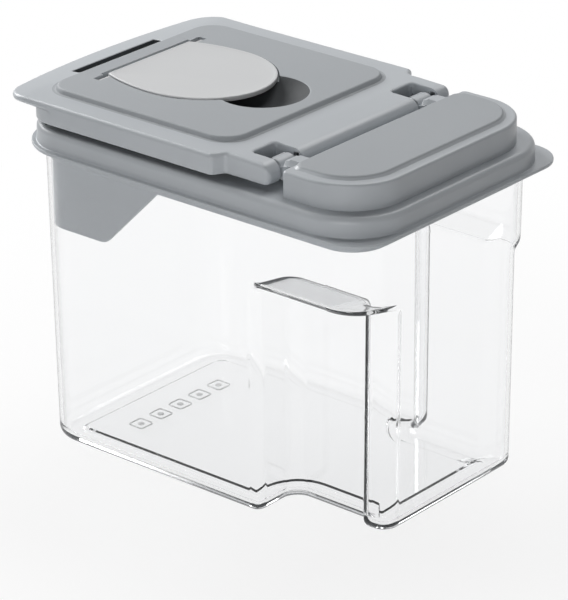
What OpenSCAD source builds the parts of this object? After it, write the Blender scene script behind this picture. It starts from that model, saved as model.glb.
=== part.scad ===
// Cereal container with a flip spout.
// A clear tub with a grip recess on each long side stands on its foot. A base
// lid plugs into its mouth and carries a pour chute, a hinge block and a large
// flap. The flap is the flip spout: it opens over the chute at the -X end. On
// the flap lies a lift tab over a finger bowl.
// X runs along the tub from the pouring end (-X) to the grip end (+X), Y runs
// across it, and the origin is on the ground under the middle of the whole
// container. The sizes below are counted from the tub's own middle.

/* [Container] */
// Half length of the tub at its mouth
tub_a = 105; // [95:0.5:125]
// Half width of the tub at its mouth
tub_b = 69.5; // [66:0.5:85]
// Height of the tub's rim above the ground
tub_h = 166.7; // [150:0.1:200]
// Wall of the tub
tub_wall = 2; // [1.4:0.1:2.6]
// How much narrower the tub is at the ground, each side
tub_draft = 1.5; // [0:0.1:2.5]
// Radius of the upright corners
corner_r = 20; // [16:0.5:26]
// Rounding where the walls meet the foot
foot_r = 5; // [3:0.1:6]
// Thickness of the floor
floor_t = 2.4; // [1.8:0.1:3]
// Height of the raised field in the floor
field_h = 0.9; // [0.4:0.1:1.2]
// Border between the walls and the raised field
field_in = 12; // [9:0.5:16]
// How far the rim stands out from the wall
rim_out = 0.6; // [0.4:0.1:0.8]
// Height of the rim
rim_t = 2.5; // [1.5:0.1:4]

/* [Grip] */
// Where the step down into the grip recess stands
grip_x = 41.5; // [30:0.5:50]
// Near wall of the waist, from the middle plane
waist_near = 40.5; // [34:0.5:48]
// Far wall of the waist, from the middle plane
waist_far = 50.5; // [40:0.5:56]
// Near face of the end column, from the middle plane
column_near = 46.5; // [40:0.5:54]
// Far face of the end column, from the middle plane
column_far = 57.5; // [46:0.5:62]
// Distance from the end wall to where the column's lip starts
lip_back = 19.5; // [17:0.5:24]
// Length of the lip's curve
lip_len = 6; // [4:0.5:8]
// Radius of the column's upright corners
column_r = 10; // [8:0.5:13]
// Outer radius of the step
step_r = 6.5; // [4:0.5:9]
// Hollow radius at the foot of the step
step_in_r = 7; // [4:0.5:9]
// Height of the recess under its ledge
ledge_z = 117.5; // [90:0.5:130]
// Rise of the ledge from the waist to the wall
ledge_rise = 2.5; // [1:0.1:5]

/* [Base lid] */
// How far the brim stands out past the tub at the pouring end
brim_front = 7; // [6.5:0.5:9]
// How far the brim stands out past the tub at the grip end
brim_back = 10.5; // [9:0.5:14]
// How far the brim stands out past the tub on the long sides
brim_side = 10.2; // [9.5:0.1:13]
// Corner radius of the brim at the pouring end
brim_r0 = 33; // [26:0.5:34]
// Corner radius of the brim at the grip end
brim_r1 = 20; // [16:0.5:30]
// Thickness of the brim
brim_t = 1.7; // [1.2:0.1:3]
// Underside of the brim below the tub's rim
brim_drop = 6.3; // [4.5:0.1:8]
// How far the raised deck stands back from the brim
deck_in = 3; // [2:0.1:3.4]
// Height of the deck above the top of the brim
deck_h = 9.9; // [9:0.1:12]
// Thickness of the lid's walls
lid_wall = 1.8; // [1.4:0.1:1.9]
// Corner radius of the deck at the pouring end
deck_r0 = 29; // [24:0.5:30]
// Corner radius of the deck at the grip end
deck_r1 = 32; // [24:0.5:34]
// How far the top of the deck steps in at its edge
edge_in = 2; // [1:0.1:2.2]
// Height of the steps at the edge of the deck
edge_h = 3; // [2:0.1:4]
// Play between the plug and the inside of the tub
plug_gap = 0.6; // [0.3:0.1:1]
// Depth of the plug below the rim of the tub
plug_depth = 14.7; // [8:0.1:20]
// Thickness of the plug and of the chute
plug_wall = 1.8; // [1.2:0.1:2.4]
// Height of the seal between the rim and the lid
seal_h = 3; // [2:0.1:3.2]
// Width of the seal
seal_w = 2.8; // [2:0.1:3]

/* [Pour opening] */
// Front edge of the opening, from the front of the deck
open_front = 13; // [12:0.5:18]
// Length of the opening
open_len = 116; // [80:1:118]
// Half width of the opening
open_b = 63; // [50:0.5:64]
// Corner radius of the opening
open_r = 12; // [8:0.5:16]
// Height of the collar round the opening
collar_h = 9.6; // [5:0.1:10]
// Thickness of the collar
collar_t = 1.8; // [1.2:0.1:2.2]
// How much further in than the plug the chute stands
chute_in = 0.5; // [0.4:0.1:1]
// Depth of the chute below the plug
chute_h = 35; // [20:0.5:45]
// Length of the chute's sides along their lower edge
chute_len = 46; // [30:1:60]

/* [Flap lid] */
// Top face of the flap above the deck
flap_h = 13.7; // [13.2:0.1:16]
// Thickness of the flap's top
flap_t = 2.3; // [1.8:0.1:2.6]
// Half width of the flap
flap_b = 76; // [74:0.1:76.3]
// Half width of the flap between the hinge arms
flap_b2 = 69.5; // [68.5:0.1:70.5]
// Where the flap starts to narrow, in front of the hinge axis
jog_front = 23.5; // [22:0.5:32]
// Length of the narrowing
jog_len = 4; // [3:0.5:12]
// How far the front skirt stands back from the front of the deck
skirt_in = 6.5; // [5.5:0.1:7]
// Gap between the flap's skirt and the deck
skirt_gap = 3.2; // [1.6:0.1:3.5]
// How far the pull lip reaches in front of the skirt
pull_len = 20; // [15:0.5:24]
// Corner radius of the pull lip
pull_r = 16; // [10:0.5:20]
// Radius of the pull lip's bowed front edge
pull_bow = 380; // [250:1:600]
// Thickness of the pull lip
pull_t = 3.4; // [3:0.1:4.5]
// Drop of the pull lip towards its front edge
pull_drop = 1.8; // [0:0.1:2.8]
// Width of the slot in the pull lip
slot_w = 5.4; // [3:0.1:6]
// Length of the slot in the pull lip
slot_len = 60; // [40:1:80]
// Gap between the slot and the skirt
slot_gap = 1.4; // [1:0.1:4]
// Gap between the sealing rib and the collar
rib_gap = 0.7; // [0.4:0.1:1]
// Thickness of the sealing rib
rib_t = 1.5; // [1:0.1:2]
// Height of the sealing rib
rib_h = 9; // [6:0.1:9.4]
// Height of the raised panel on the flap
panel_h = 2.3; // [1.5:0.1:2.6]
// Half width of the panel
panel_b = 60; // [50:0.5:64]
// Front edge of the panel, behind the front skirt
panel_front = 3.5; // [3.5:0.5:8]
// Rear edge of the panel, in front of the hinge axis
panel_back = 25.5; // [22:0.5:28]
// Corner radius of the panel
panel_r = 12; // [8:0.5:18]
// Width of the panel's stepped edge
panel_edge = 3; // [1:0.1:3.4]

/* [Flap hinge] */
// Distance from the hinge block to the hinge axis
axis_x = 14.5; // [13.5:0.1:17]
// Radius of the flap's rounded nose
nose_r = 6.5; // [6:0.1:6.9]
// Radius of the hinge pins
pin_r = 2.5; // [1.8:0.1:2.8]
// Play round the hinge pins
pin_play = 0.06; // [0.02:0.01:0.1]
// Outer radius of the knuckles
knuckle_r = 4.5; // [4.2:0.1:4.8]
// Width of a knuckle
knuckle_w = 12; // [8:0.5:13]
// Middle of a knuckle, from the middle plane
knuckle_y = 52; // [50:0.5:54]
// Width of a hinge pocket in the flap
pocket_w = 17; // [16:0.5:18]
// Length of a hinge pocket in front of the axis
pocket_len = 11.5; // [10.5:0.1:14]

/* [Hinge block] */
// Length of the hinge block along the tub
block_len = 47; // [40:0.5:49]
// How far the hinge block stands back from the end of the deck
block_back = 7; // [6:0.5:9]
// Half width of the hinge block
block_b = 69.5; // [60:0.5:72]
// Height of the hinge block above the deck
block_h = 13; // [12:0.1:15]
// Radius of the hinge block's rear corners
block_r = 30; // [15:0.5:36]
// Wall of the hinge block
block_wall = 2; // [1.4:0.1:3]
// Height of the pad on the hinge block
pad_h = 1.8; // [0.8:0.1:2.4]
// Border between the pad and the edge of the block
pad_in = 4.5; // [3:0.1:7]

/* [Lift tab] */
// Distance from the front skirt to the axis of the tab
tab_front = 16.5; // [15:0.5:20]
// Length of the tab's wide part, behind its axis
tab_root = 33; // [25:0.5:38]
// Length of the tab's rounded tip
tab_tip = 40; // [30:0.5:44]
// Half width of the tab
tab_b = 36.5; // [28:0.5:38]
// Length over which the wide part would close
tab_flare = 60; // [50:1:90]
// Thickness of the tab
tab_t = 2.5; // [1.8:0.1:3]
// Gap between the tab and the floor of its recess
tab_lift = 0.4; // [0.3:0.1:0.8]
// Gap round the edge of the tab
tab_gap = 0.8; // [0.5:0.1:1.2]
// Radius of the tab's pivots
pivot_r = 1.4; // [1:0.05:1.5]
// Play round the pivots
pivot_play = 0.06; // [0.02:0.01:0.1]
// Radius of the tab's hinge bar
bar_r = 1.75; // [1.5:0.05:1.9]
// Depth of the tab's axis below the top of the flap
pivot_drop = 0.3; // [0.2:0.05:0.6]
// Half length of the groove that the tab turns in
groove_b = 39.5; // [37.5:0.5:41]
// How deep the pivots reach into the ends of the groove
pivot_in = 1.8; // [1.2:0.1:2.4]
// Radius of the finger bowl at its rim
bowl_r = 23; // [18:0.5:25]
// Depth of the finger bowl
bowl_d = 9; // [6:0.1:9.5]
// Middle of the finger bowl, behind the axis of the tab
bowl_x = 74; // [66:0.5:77]

/* [Hidden] */
eps = 0.01;
// Levels
brim_z = tub_h - brim_drop;
deck_z0 = brim_z + brim_t;
deck_z = deck_z0 + deck_h;
ceil_z = deck_z - lid_wall;
seal_gap = 0.3;
seal_side = 0.3;
seal_z1 = tub_h + seal_gap + seal_h;
plug_z = tub_h - plug_depth;
chute_z = plug_z - chute_h;
flap_z = deck_z + flap_h;
flap_z0 = flap_z - flap_t;
skirt_z = deck_z + skirt_gap;
panel_z = flap_z + panel_h;
axis_z = flap_z - nose_r;
block_z = deck_z + block_h;
pad_z = block_z + pad_h;
// Brim and deck outlines
brim_x0 = -tub_a - brim_front;
brim_x1 = tub_a + brim_back;
brim_b = tub_b + brim_side;
deck_x0 = brim_x0 + deck_in;
deck_x1 = brim_x1 - deck_in;
deck_b = brim_b - deck_in;
// Plug
plug_a = tub_a - tub_wall - plug_gap;
plug_b = tub_b - tub_wall - plug_gap;
plug_r = corner_r - tub_wall - plug_gap;
// Opening, collar and rib
open_x0 = deck_x0 + open_front;
open_x1 = open_x0 + open_len;
collar_x0 = open_x0 - collar_t;
collar_x1 = open_x1 + collar_t;
collar_b = open_b + collar_t;
rib_x0 = open_x0 + rib_gap;
rib_x1 = open_x1 - rib_gap;
rib_b = open_b - rib_gap;
rib_z = flap_z0 - rib_h;
// Hinge block and flap axis
block_x1 = deck_x1 - block_back;
block_x0 = block_x1 - block_len;
hinge_x = block_x0 - axis_x;
arm_y0 = knuckle_y + pocket_w / 2;
mid_y1 = knuckle_y - pocket_w / 2;
// Flap outline
skirt_x0 = deck_x0 + skirt_in;
lip_x0 = skirt_x0 - pull_len;
jog_x0 = hinge_x - jog_front;
jog_x1 = jog_x0 + jog_len;
jog_b = flap_b - flap_b2;
jog_in = (norm([jog_len, jog_b]) - jog_len) / jog_b;
slot_x1 = skirt_x0 - slot_gap;
slot_x0 = slot_x1 - slot_w;
panel_x0 = skirt_x0 + panel_front;
panel_x1 = hinge_x - panel_back;
// Tab
tab_x = skirt_x0 + tab_front;
tab_z = flap_z - pivot_drop;
tab_z0 = flap_z + tab_lift;
tab_mid = tab_x + tab_root;
bowl_cx = tab_x + bowl_x;
bowl_R = (bowl_r * bowl_r + bowl_d * bowl_d) / (2 * bowl_d);
bowl_cz = panel_z - bowl_d + bowl_R;
// Middle of the whole length, which the origin stands under
mid_x = (lip_x0 + brim_x1) / 2;
// Small steps, edges and overlaps
foot_hollow = 0.8;
field_edge = 1.2;
rim_edge = 0.5;
rim_in = 0.4;
edge_step = 0.7;
edge_t = 2.3;
panel_steps = 3;
chute_cut = 4;
chute_rise = 1.5;
pad_edge = 0.8;
pad_step = 0.7;
front_r = 2;
arm_in = 0.9;
arm_lift = 1.2;
arm_cap = 0.6;
arm_drop = 2;
flap_r = 17;
jog_lap = 3;
rear_r = 1;
lip_in = 14;
reach = 20;
boss_side = 1.5;
boss_end = 2;
boss_t = 2.4;
cheek_t = 2.5;
bore_end = 0.3;
bar_end = 0.6;
groove_gap = 0.9;
bar_gap = 1.2;
groove_z = tab_z - bar_r - groove_gap;
groove_x0 = tab_x - (tab_z0 + tab_t - tab_z) - groove_gap;
groove_x1 = tab_x + bar_r + bar_gap;
bore_b = groove_b + pivot_in;
cheek_x = hinge_x - pocket_len;
bowl_z0 = panel_z - bowl_d - lid_wall - rear_r;
$fn = 96;

module place() {
    translate([-mid_x, 0, 0]) children();
}

// A rectangle with one radius at its corners on the -X side and one at +X
module plan(x0, x1, b, r0, r1) {
    difference() {
        translate([x0, -b]) square([x1 - x0, 2 * b]);
        for (s = [-1, 1]) {
            difference() {
                translate([x0 - 1, s * b - (s + 1) / 2 * r0 - (1 - s) / 2])
                    square([r0 + 1, r0 + 1]);
                translate([x0 + r0, s * (b - r0)]) circle(r = r0);
            }
            difference() {
                translate([x1 - r1, s * b - (s + 1) / 2 * r1 - (1 - s) / 2])
                    square([r1 + 1, r1 + 1]);
                translate([x1 - r1, s * (b - r1)]) circle(r = r1);
            }
        }
    }
}

module slab(x0, x1, b, r0, r1, z0, z1) {
    translate([0, 0, z0]) linear_extrude(z1 - z0) plan(x0, x1, b, r0, r1);
}

// A wall that follows the outline, with its outer face on it
module ring(x0, x1, b, r0, r1, t, z0, z1) {
    translate([0, 0, z0]) linear_extrude(z1 - z0) difference() {
        plan(x0, x1, b, r0, r1);
        plan(x0 + t, x1 - t, b - t, max(r0 - t, 0.5), max(r1 - t, 0.5));
    }
}

// Outline of the tub. e is the inset from the outer face, g is 1 where the
// grip recess is cut and 0 above its ledge, d is the draft at that height.
CN = 8;
SN = 5;
LN = 5;
function arc(cx, cy, r, a0, a1, n) = [for (i = [0 : n]) let (t = a0 + (a1 - a0) * i / n)
    [cx + r * cos(t), cy + r * sin(t)]];
function side_low(a, b, e, waist, column) =
    let (rs = max(step_r - e, 0.8), ri = step_in_r + e, rc = max(column_r - e, 1),
         sx = grip_x - e, yb = b - e, yw = waist - e, yc = column - e,
         x2 = min(a + lip_len - lip_back + 0.6 * e, a - e - rc - 0.4), x1 = x2 - lip_len)
    concat(
        arc(sx - rs, yb - rs, rs, 90, 0, SN),
        arc(sx + ri, yw + ri, ri, 180, 270, SN),
        [for (i = [0 : LN]) let (t = i / LN) [x1 + (x2 - x1) * t, yw + (yc - yw) * (1 - cos(180 * t)) / 2]],
        arc(a - e - rc, yc - rc, rc, 90, 0, CN));
function side_up(a, b, e, waist, column) =
    let (low = side_low(a, b, e, waist, column), r = max(corner_r - e, 1),
         n = 2 * (SN + 1) + LN + 1, xe = a - e - r)
    concat(
        [for (i = [0 : n - 1]) [min(low[i][0], xe - 0.2 * (n - i)), b - e]],
        arc(xe, b - e - r, r, 90, 0, CN));
function mixed(p, q, t) = [for (i = [0 : len(p) - 1]) p[i] * (1 - t) + q[i] * t];
function flip(p) = [for (i = [len(p) - 1 : -1 : 0]) [p[i][0], -p[i][1]]];
function outline(e, g, d) =
    let (a = tub_a - d, b = tub_b - d, r = max(corner_r - e, 1),
         far = mixed(side_up(a, b, e, waist_far, column_far),
             side_low(a, b, e, waist_far, column_far), g),
         near = mixed(side_up(a, b, e, waist_near, column_near),
             side_low(a, b, e, waist_near, column_near), g))
    concat(
        arc(-a + e + r, b - e - r, r, 180, 90, CN), far,
        flip(near), arc(-a + e + r, -b + e + r, r, 270, 180, CN));
function draft(z) = tub_draft * (1 - z / tub_h);
// Rings of the tub: [inset, grip, height], outside upwards, then inside down
FN = 5;
RN = 4;
field_x = field_in + field_edge;
function foot_in(i) = foot_r * (1 - sin(90 * i / FN));
function foot_up(i) = foot_r * (1 - cos(90 * i / FN));
foot_rings = [for (i = [0 : FN]) [foot_in(i), 1, foot_up(i)]];
function eased(t) = 1 - t * t * (3 - 2 * t);
roof_rings = [for (i = [0 : RN]) let (t = i / RN) [0, eased(t), ledge_z + ledge_rise * t]];
inner_roof = [for (i = [RN : -1 : 0]) let (t = i / RN)
    [tub_wall, eased(t), ledge_z + tub_wall + ledge_rise * t]];
inner_foot = [for (i = [FN : -1 : 0]) [tub_wall + foot_in(i), 1, floor_t + foot_up(i)]];
tub_rings = concat(
    [[field_x, 1, foot_hollow], [field_in, 1, 0]],
    foot_rings, [[0, 1, ledge_z / 2]], roof_rings,
    [[0, 0, tub_h - rim_t], [-rim_out, 0, tub_h - rim_t + rim_out],
     [-rim_out, 0, tub_h - rim_edge], [-rim_out + rim_edge, 0, tub_h],
     [tub_wall - rim_in, 0, tub_h], [tub_wall, 0, tub_h - rim_in]],
    inner_roof, [[tub_wall, 1, ledge_z / 2]], inner_foot,
    [[field_in + tub_wall, 1, floor_t], [field_x + tub_wall, 1, floor_t + field_h]]);

module container() {
    rings = [for (k = tub_rings) outline(k[0], k[1], draft(k[2]))];
    n = len(rings[0]);
    m = len(rings);
    pts = [for (k = [0 : m - 1]) for (p = rings[k]) [p[0], p[1], tub_rings[k][2]]];
    // The floor's two flat caps are triangulated from one polygon each
    sides = [for (k = [0 : m - 2]) for (i = [0 : n - 1]) let (j = (i + 1) % n)
        each [[k * n + i, k * n + j, (k + 1) * n + j], [k * n + i, (k + 1) * n + j, (k + 1) * n + i]]];
    caps = [[for (i = [n - 1 : -1 : 0]) i], [for (i = [0 : n - 1]) (m - 1) * n + i]];
    color([0.93, 0.95, 0.96, 0.35]) place()
        polyhedron(points = pts, faces = concat(sides, caps), convexity = 10);
}

module base_lid() {
    color([0.55, 0.58, 0.61]) place() difference() {
        union() {
            // Brim and the deck's wall
            difference() {
                slab(brim_x0, brim_x1, brim_b, brim_r0, brim_r1, brim_z, deck_z0);
                slab(deck_x0 + lid_wall, deck_x1 - lid_wall, deck_b - lid_wall,
                    deck_r0 - lid_wall, deck_r1 - lid_wall, brim_z - 1, deck_z0 + 1);
            }
            ring(deck_x0, deck_x1, deck_b, deck_r0, deck_r1, lid_wall, deck_z0 - eps, deck_z - edge_h);
            // Steps at the deck's edge, the deck and the collar round the opening
            ring(deck_x0 + edge_step, deck_x1 - edge_step, deck_b - edge_step,
                deck_r0 - edge_step, deck_r1 - edge_step, edge_t, deck_z - edge_h - eps, ceil_z + eps);
            slab(deck_x0 + edge_in, deck_x1 - edge_in, deck_b - edge_in,
                deck_r0 - edge_in, deck_r1 - edge_in, ceil_z, deck_z);
            slab(collar_x0, collar_x1, collar_b, open_r + collar_t, open_r + collar_t,
                deck_z - eps, deck_z + collar_h);
            // Plug that hangs into the tub
            ring(-plug_a, plug_a, plug_b, plug_r, plug_r, plug_wall, plug_z, ceil_z + eps);
        }
        slab(open_x0, open_x1, open_b, open_r, open_r, ceil_z - 1, deck_z + collar_h + 1);
    }
}

module pour_chute() {
    x1 = -plug_a + chute_len;
    color([0.58, 0.61, 0.64]) place() intersection() {
        ring(-plug_a + chute_in, plug_a - chute_in, plug_b - chute_in,
            plug_r - chute_in, plug_r - chute_in, plug_wall, chute_z, plug_z);
        // Side view: full depth at the end wall, then up at 45 degrees
        translate([0, plug_b + 1, 0]) rotate([90, 0, 0]) linear_extrude(2 * plug_b + 2)
            polygon([[-plug_a - 1, plug_z], [-plug_a - 1, chute_z], [x1 - chute_cut, chute_z],
                [x1, chute_z + chute_rise], [x1 + chute_h - chute_rise, plug_z]]);
    }
}

module lid_seal() {
    o = seal_w + seal_side - tub_wall - plug_gap;
    color([0.85, 0.87, 0.88]) place()
        ring(-tub_a - o, tub_a + o, tub_b + o, corner_r + o, corner_r + o, seal_w, seal_z1 - seal_h, ceil_z);
}

// Hinge arm of the block with its knuckle round the flap's pin
module lug() {
    translate([0, knuckle_w / 2, 0]) rotate([90, 0, 0]) linear_extrude(knuckle_w) difference() {
        union() {
            translate([hinge_x, axis_z]) circle(r = knuckle_r);
            polygon([[hinge_x, axis_z - knuckle_r + arm_in], [block_x0 + eps, deck_z + arm_lift],
                [block_x0 + eps, block_z], [hinge_x + knuckle_r + arm_cap, block_z],
                [hinge_x + knuckle_r + arm_cap, axis_z + arm_drop], [hinge_x, axis_z + arm_drop]]);
        }
        translate([hinge_x, axis_z]) circle(r = pin_r + pin_play);
    }
}

module hinge_block() {
    color([0.52, 0.55, 0.58]) place() union() {
        difference() {
            slab(block_x0, block_x1, block_b, front_r, block_r, deck_z, block_z);
            slab(block_x0 + block_wall, block_x1 - block_wall, block_b - block_wall,
                rear_r, block_r - block_wall, deck_z - 1, block_z - block_wall);
        }
        slab(block_x0 + pad_edge, block_x1 - pad_in, block_b - pad_in,
            front_r, block_r - pad_in / 2, block_z - eps, pad_z - pad_step);
        slab(block_x0 + 2 * pad_edge, block_x1 - pad_in - pad_edge, block_b - pad_in - pad_edge,
            front_r, block_r - pad_in / 2 - pad_edge, pad_z - pad_step - eps, pad_z);
        for (s = [-1, 1]) translate([0, s * knuckle_y, 0]) lug();
    }
}

// Outline of the flap without its pull lip: wide, then narrow at the hinge
module flap_plan(i) {
    x0 = jog_x0 - i * jog_in;
    x1 = jog_x1 - i * jog_in;
    plan(skirt_x0 + i, jog_x0 - jog_lap, flap_b - i, flap_r - i, rear_r);
    polygon([[jog_x0 - 2 * jog_lap, -flap_b + i], [x0, -flap_b + i], [x1, -flap_b2 + i], [hinge_x, -flap_b2 + i],
        [hinge_x, flap_b2 - i], [x1, flap_b2 - i], [x0, flap_b - i], [jog_x0 - 2 * jog_lap, flap_b - i]]);
}

// Round the hinge axis, along Y from y0 to y1
module rod(r, y0, y1) {
    translate([hinge_x, y1, axis_z]) rotate([90, 0, 0]) cylinder(r = r, h = y1 - y0);
}

// Outline of the tab, grown by w
function tab_plan(w) = concat(
    [for (i = [-16 : 16]) let (t = 90 * i / 16) [tab_mid + (tab_tip + w) * cos(t), (tab_b + w) * sin(t)]],
    [for (i = [1 : 8]) let (x = (tab_root + 1) * i / 8)
        [tab_mid - x, (tab_b + w) * sqrt(1 - pow(x / (tab_flare + w), 2))]],
    [for (i = [8 : -1 : 1]) let (x = (tab_root + 1) * i / 8)
        [tab_mid - x, -(tab_b + w) * sqrt(1 - pow(x / (tab_flare + w), 2))]]);

module flap_lid() {
    color([0.6, 0.63, 0.66]) place() difference() {
        union() {
            // Top and skirt
            translate([0, 0, flap_z0]) linear_extrude(flap_t) flap_plan(0);
            translate([0, 0, skirt_z]) linear_extrude(flap_z0 - skirt_z + eps) difference() {
                flap_plan(0);
                flap_plan(lid_wall);
            }
            // Pull lip, cut to its slope below
            difference() {
                translate([0, 0, flap_z - pull_t - pull_drop]) linear_extrude(pull_t + pull_drop) intersection() {
                    plan(lip_x0, skirt_x0 + lip_in, flap_b, pull_r, rear_r);
                    translate([lip_x0 + pull_bow, 0]) circle(r = pull_bow, $fn = 360);
                }
                translate([0, flap_b + 1, 0]) rotate([90, 0, 0]) linear_extrude(2 * flap_b + 2) {
                    polygon([[lip_x0 - reach, flap_z + 1], [lip_x0 - reach, flap_z - 2 * pull_drop],
                        [lip_x0, flap_z - pull_drop], [skirt_x0 + lid_wall, flap_z],
                        [skirt_x0 + lid_wall, flap_z + 1]]);
                    polygon([[lip_x0 - reach, flap_z - reach],
                        [lip_x0 - reach, flap_z - pull_t - pull_drop],
                        [lip_x0, flap_z - pull_t - pull_drop], [skirt_x0 + eps, flap_z - pull_t],
                        [skirt_x0 + eps, flap_z - reach]]);
                    translate([skirt_x0 + lid_wall - eps, flap_z - reach])
                        square([reach, reach - flap_t]);
                }
            }
            // Panel
            for (i = [1 : panel_steps]) {
                w = panel_edge * (panel_steps - i) / (panel_steps - 1);
                slab(panel_x0 - w, panel_x1 + w, panel_b + w, panel_r + w, panel_r + w,
                    flap_z - eps, flap_z + panel_h * i / panel_steps);
            }
            // Sealing rib inside the collar
            ring(rib_x0, rib_x1, rib_b, open_r - rib_gap, open_r - rib_gap, rib_t, rib_z, flap_z0 + eps);
            // Shell of the finger bowl
            intersection() {
                translate([bowl_cx, 0, bowl_cz]) sphere(r = bowl_R + lid_wall, $fn = 120);
                translate([bowl_cx, 0, bowl_z0])
                    cylinder(r = bowl_r + lid_wall, h = flap_z - bowl_z0);
            }
            // Boss under the tab's groove
            translate([groove_x0 - boss_side, -bore_b - boss_end, tab_z - bar_r - boss_t])
                cube([groove_x1 - groove_x0 + 2 * boss_side, 2 * (bore_b + boss_end), bar_r + boss_t]);
            // Rounded nose, arms and the wall in front of the pockets
            rod(nose_r, -flap_b2, flap_b2);
            translate([cheek_x - lid_wall, -flap_b2 + 1, skirt_z])
                cube([lid_wall, 2 * flap_b2 - 2, flap_z - skirt_z - 1]);
            for (s = [-1, 1]) {
                translate([cheek_x - 1, s * (arm_y0 + flap_b2) / 2 - (flap_b2 - arm_y0) / 2, skirt_z])
                    cube([pocket_len + 1, flap_b2 - arm_y0, flap_z - skirt_z - 1]);
                translate([cheek_x - 1, s * (mid_y1 - cheek_t / 2) - cheek_t / 2, skirt_z])
                    cube([pocket_len + 1, cheek_t, flap_z - skirt_z - 1]);
            }
        }
        // Hollow of the middle part behind its nose
        difference() {
            union() {
                rod(nose_r - lid_wall, -mid_y1 + cheek_t, mid_y1 - cheek_t);
                translate([cheek_x, -mid_y1 + cheek_t, axis_z - reach])
                    cube([pocket_len + nose_r - lid_wall, 2 * (mid_y1 - cheek_t), reach]);
            }
            translate([hinge_x - reach, -mid_y1, flap_z0]) cube([2 * reach, 2 * mid_y1, reach]);
        }
        // Pockets for the knuckles, round the pins
        for (s = [-1, 1]) difference() {
            translate([cheek_x, s * knuckle_y - pocket_w / 2, axis_z - reach])
                cube([pocket_len + nose_r + 1, pocket_w, 2 * reach]);
            rod(pin_r, s * knuckle_y - pocket_w, s * knuckle_y + pocket_w);
        }
        // Slot in the pull lip
        translate([slot_x0, -slot_len / 2, flap_z - reach]) cube([slot_w, slot_len, 2 * reach]);
        // Recess for the tab, its groove, the pivots' bores and the bowl
        translate([0, 0, flap_z]) linear_extrude(panel_h + 1) polygon(tab_plan(tab_gap));
        translate([groove_x0, -groove_b, groove_z])
            cube([groove_x1 - groove_x0, 2 * groove_b, reach]);
        translate([tab_x, bore_b + bore_end, tab_z]) rotate([90, 0, 0])
            cylinder(r = pivot_r + pivot_play, h = 2 * (bore_b + bore_end));
        translate([bowl_cx, 0, bowl_cz]) sphere(r = bowl_R, $fn = 120);
    }
}

module lift_tab() {
    color([0.82, 0.83, 0.84]) place() union() {
        translate([0, 0, tab_z0]) linear_extrude(tab_t) polygon(tab_plan(0));
        translate([tab_x, groove_b - bar_end, tab_z]) rotate([90, 0, 0])
            cylinder(r = bar_r, h = 2 * (groove_b - bar_end));
        translate([tab_x, bore_b, tab_z]) rotate([90, 0, 0]) cylinder(r = pivot_r, h = 2 * bore_b);
    }
}

container();
base_lid();
pour_chute();
lid_seal();
hinge_block();
flap_lid();
lift_tab();
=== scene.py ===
# %% [markdown]
# # A cereal container with a flip spout
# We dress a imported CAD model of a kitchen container: a clear tub, a satin
# grey lid with a large hinged flap, and a light lift tab. The CAD model is
# the frame. Every visible piece is built here as a finer mesh in its place.

# %% Load the frame
from math import atan2, cos, pi, radians, sin, sqrt, tan

import bmesh
import bpy
import numpy as np
from mathutils import Matrix, Vector
from mathutils.geometry import delaunay_2d_cdt


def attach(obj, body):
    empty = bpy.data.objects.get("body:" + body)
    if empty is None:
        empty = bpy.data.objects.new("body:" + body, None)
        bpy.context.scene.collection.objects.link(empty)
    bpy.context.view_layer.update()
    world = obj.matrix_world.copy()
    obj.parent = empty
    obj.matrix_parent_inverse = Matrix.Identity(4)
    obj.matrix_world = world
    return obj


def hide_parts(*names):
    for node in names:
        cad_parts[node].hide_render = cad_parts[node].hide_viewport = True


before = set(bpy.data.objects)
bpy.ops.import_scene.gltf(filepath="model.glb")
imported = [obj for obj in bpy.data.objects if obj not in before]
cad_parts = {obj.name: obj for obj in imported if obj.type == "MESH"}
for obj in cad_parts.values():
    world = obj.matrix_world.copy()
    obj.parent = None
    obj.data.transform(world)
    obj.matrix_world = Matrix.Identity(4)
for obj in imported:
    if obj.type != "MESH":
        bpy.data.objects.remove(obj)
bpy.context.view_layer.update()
print("nodes:", sorted(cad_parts))

# %% [markdown]
# ## Sizes
# All sizes are in millimetres and counted from the tub's own middle. The
# origin stands under the middle of the whole container, so one shift along X
# brings a piece to its place.

# %% Sizes
MM = 0.001
SHIFT = 3.5
TUB_A, TUB_B, TUB_H = 105.0, 69.5, 166.7
WALL, DRAFT = 2.0, 1.5
BRIM = (-112.0, 115.5, 79.7, 33.0, 20.0)
DECK = (-109.0, 112.5, 76.7, 29.0, 32.0)
BRIM_Z, DECK_FOOT, CEIL_Z, DECK_Z = 160.4, 162.1, 170.2, 172.0
PLUG = (-102.4, 102.4, 66.9, 17.4, 17.4)
PLUG_Z, CHUTE_Z = 152.0, 117.0
OPENING = (-96.0, 20.0, 63.0, 12.0, 12.0)
PANEL = (-99.0, 18.5, 60.0, 12.0, 12.0)
FLAP_Z, PANEL_Z, SKIRT_Z = 185.7, 188.0, 175.2
AXIS_X, AXIS_Z = 44.0, 179.2
TAB_X, TAB_Z = -86.0, 185.4

# %% [markdown]
# ## Mesh helpers
# Most mouldings here are a plan outline that is carried through a profile,
# so one loft function makes them: it takes rings of points and joins each to
# the next. A closed loft ends where it began, an open one gets two caps.

# %% Mesh helpers
def arc(cx, cy, r, a0, a1, n):
    """n + 1 points on an arc, angles in degrees."""
    steps = [radians(a0 + (a1 - a0) * i / n) for i in range(n + 1)]
    return [(cx + r * cos(t), cy + r * sin(t)) for t in steps]


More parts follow.
